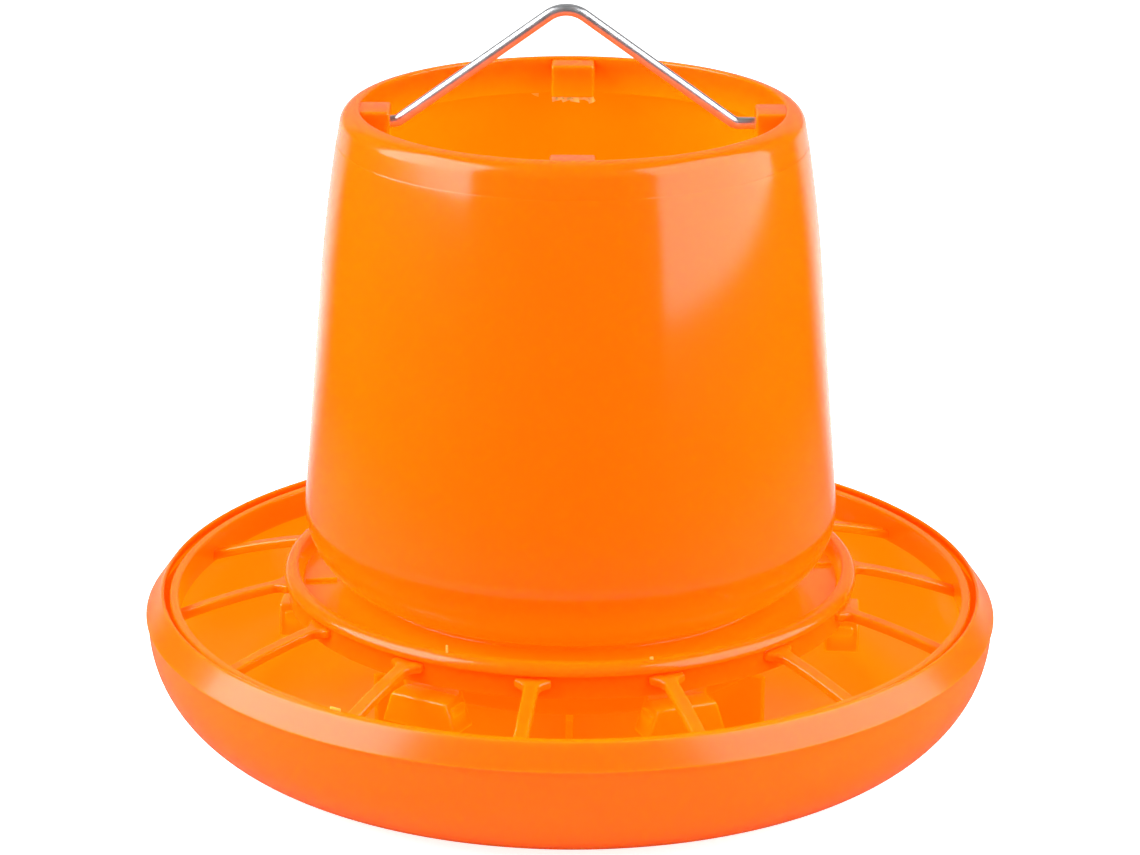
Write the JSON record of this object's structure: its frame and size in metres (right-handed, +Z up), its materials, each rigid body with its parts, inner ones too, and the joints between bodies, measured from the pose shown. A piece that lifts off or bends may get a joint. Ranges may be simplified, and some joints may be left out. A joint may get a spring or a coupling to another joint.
{
  "type": "poultry feeder",
  "caption": "Hanging poultry feeder: open tapered hopper with a wire bail, over a shallow round pan with a spoked anti-waste grill inside its rim.",
  "frame": {"origin": "middle of the pan's flat underside, on the floor", "axes": "+Z up along the feeder's axis, -Y towards the viewer's front, X along the line that the bail turns about"},
  "size_m": [0.254, 0.254, 0.2178],
  "materials": {
    "pan_plastic": "glossy orange polyolefin, as moulded",
    "grill_plastic": "glossy orange polyolefin, as moulded",
    "hopper_plastic": "glossy orange polyolefin, slightly translucent",
    "bail_wire": "galvanised steel wire, satin"
  },
  "bodies": {
    "base": {"pan": "pan_plastic", "grill": "grill_plastic"},
    "hopper": {"hopper": "hopper_plastic"},
    "bail": {"bail": "bail_wire"}
  },
  "joints": [
    {"name": "hopper_turn", "type": "hinge", "parent": "base", "child": "hopper", "pos_m": [0, 0, 0.024], "axis": [0, 0, 1], "continuous": true},
    {"name": "bail_swing", "type": "hinge", "parent": "hopper", "child": "bail", "pos_m": [0, 0, 0.1831], "axis": [1, 0, 0], "continuous": true}
  ]
}
